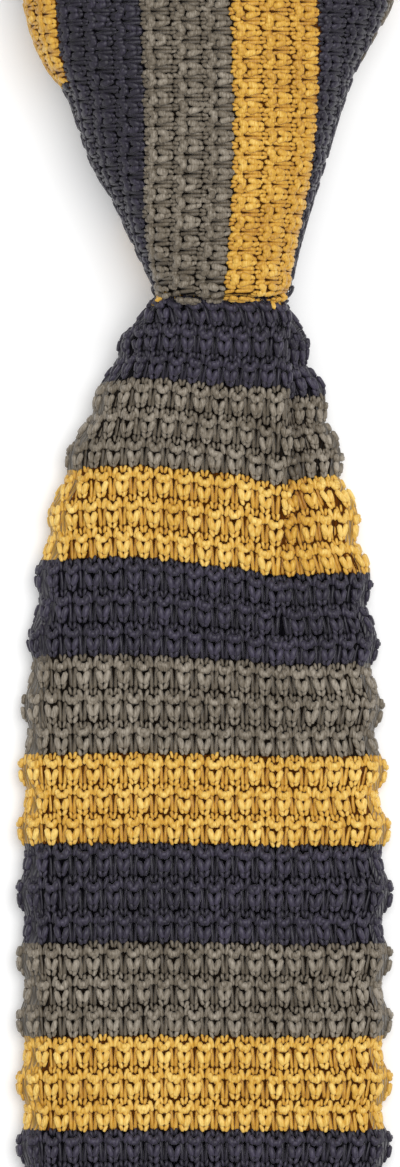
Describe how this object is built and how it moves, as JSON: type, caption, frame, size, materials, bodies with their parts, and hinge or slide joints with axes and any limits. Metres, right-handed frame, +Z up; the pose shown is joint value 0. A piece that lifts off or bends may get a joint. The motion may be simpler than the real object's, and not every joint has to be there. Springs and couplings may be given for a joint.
{
  "type": "knit tie",
  "caption": "Striped knit necktie in a four-in-hand knot, lying face up with its neck loop closed and its square-ended blades hanging straight.",
  "frame": {"origin": "on the surface the tie lies on, under the middle of the knot's flat back", "axes": "+Z up off the surface, towards the tie's face; +Y along the tie from the knot to the neck loop; -Y to the blade's tip; +X to the right as the picture shows it"},
  "size_m": [0.1481, 0.6684, 0.0269],
  "materials": {
    "striped_knit": "soft satin knit in navy, grey and gold stripes",
    "navy_yarn": "soft satin yarn",
    "grey_yarn": "soft satin yarn",
    "gold_yarn": "soft satin yarn"
  },
  "bodies": {
    "root": {"front_blade": "striped_knit", "knot_wrap": "striped_knit", "knot_turn": "striped_knit", "neck_band": "striped_knit", "tail_blade": "striped_knit"}
  },
  "joints": []
}
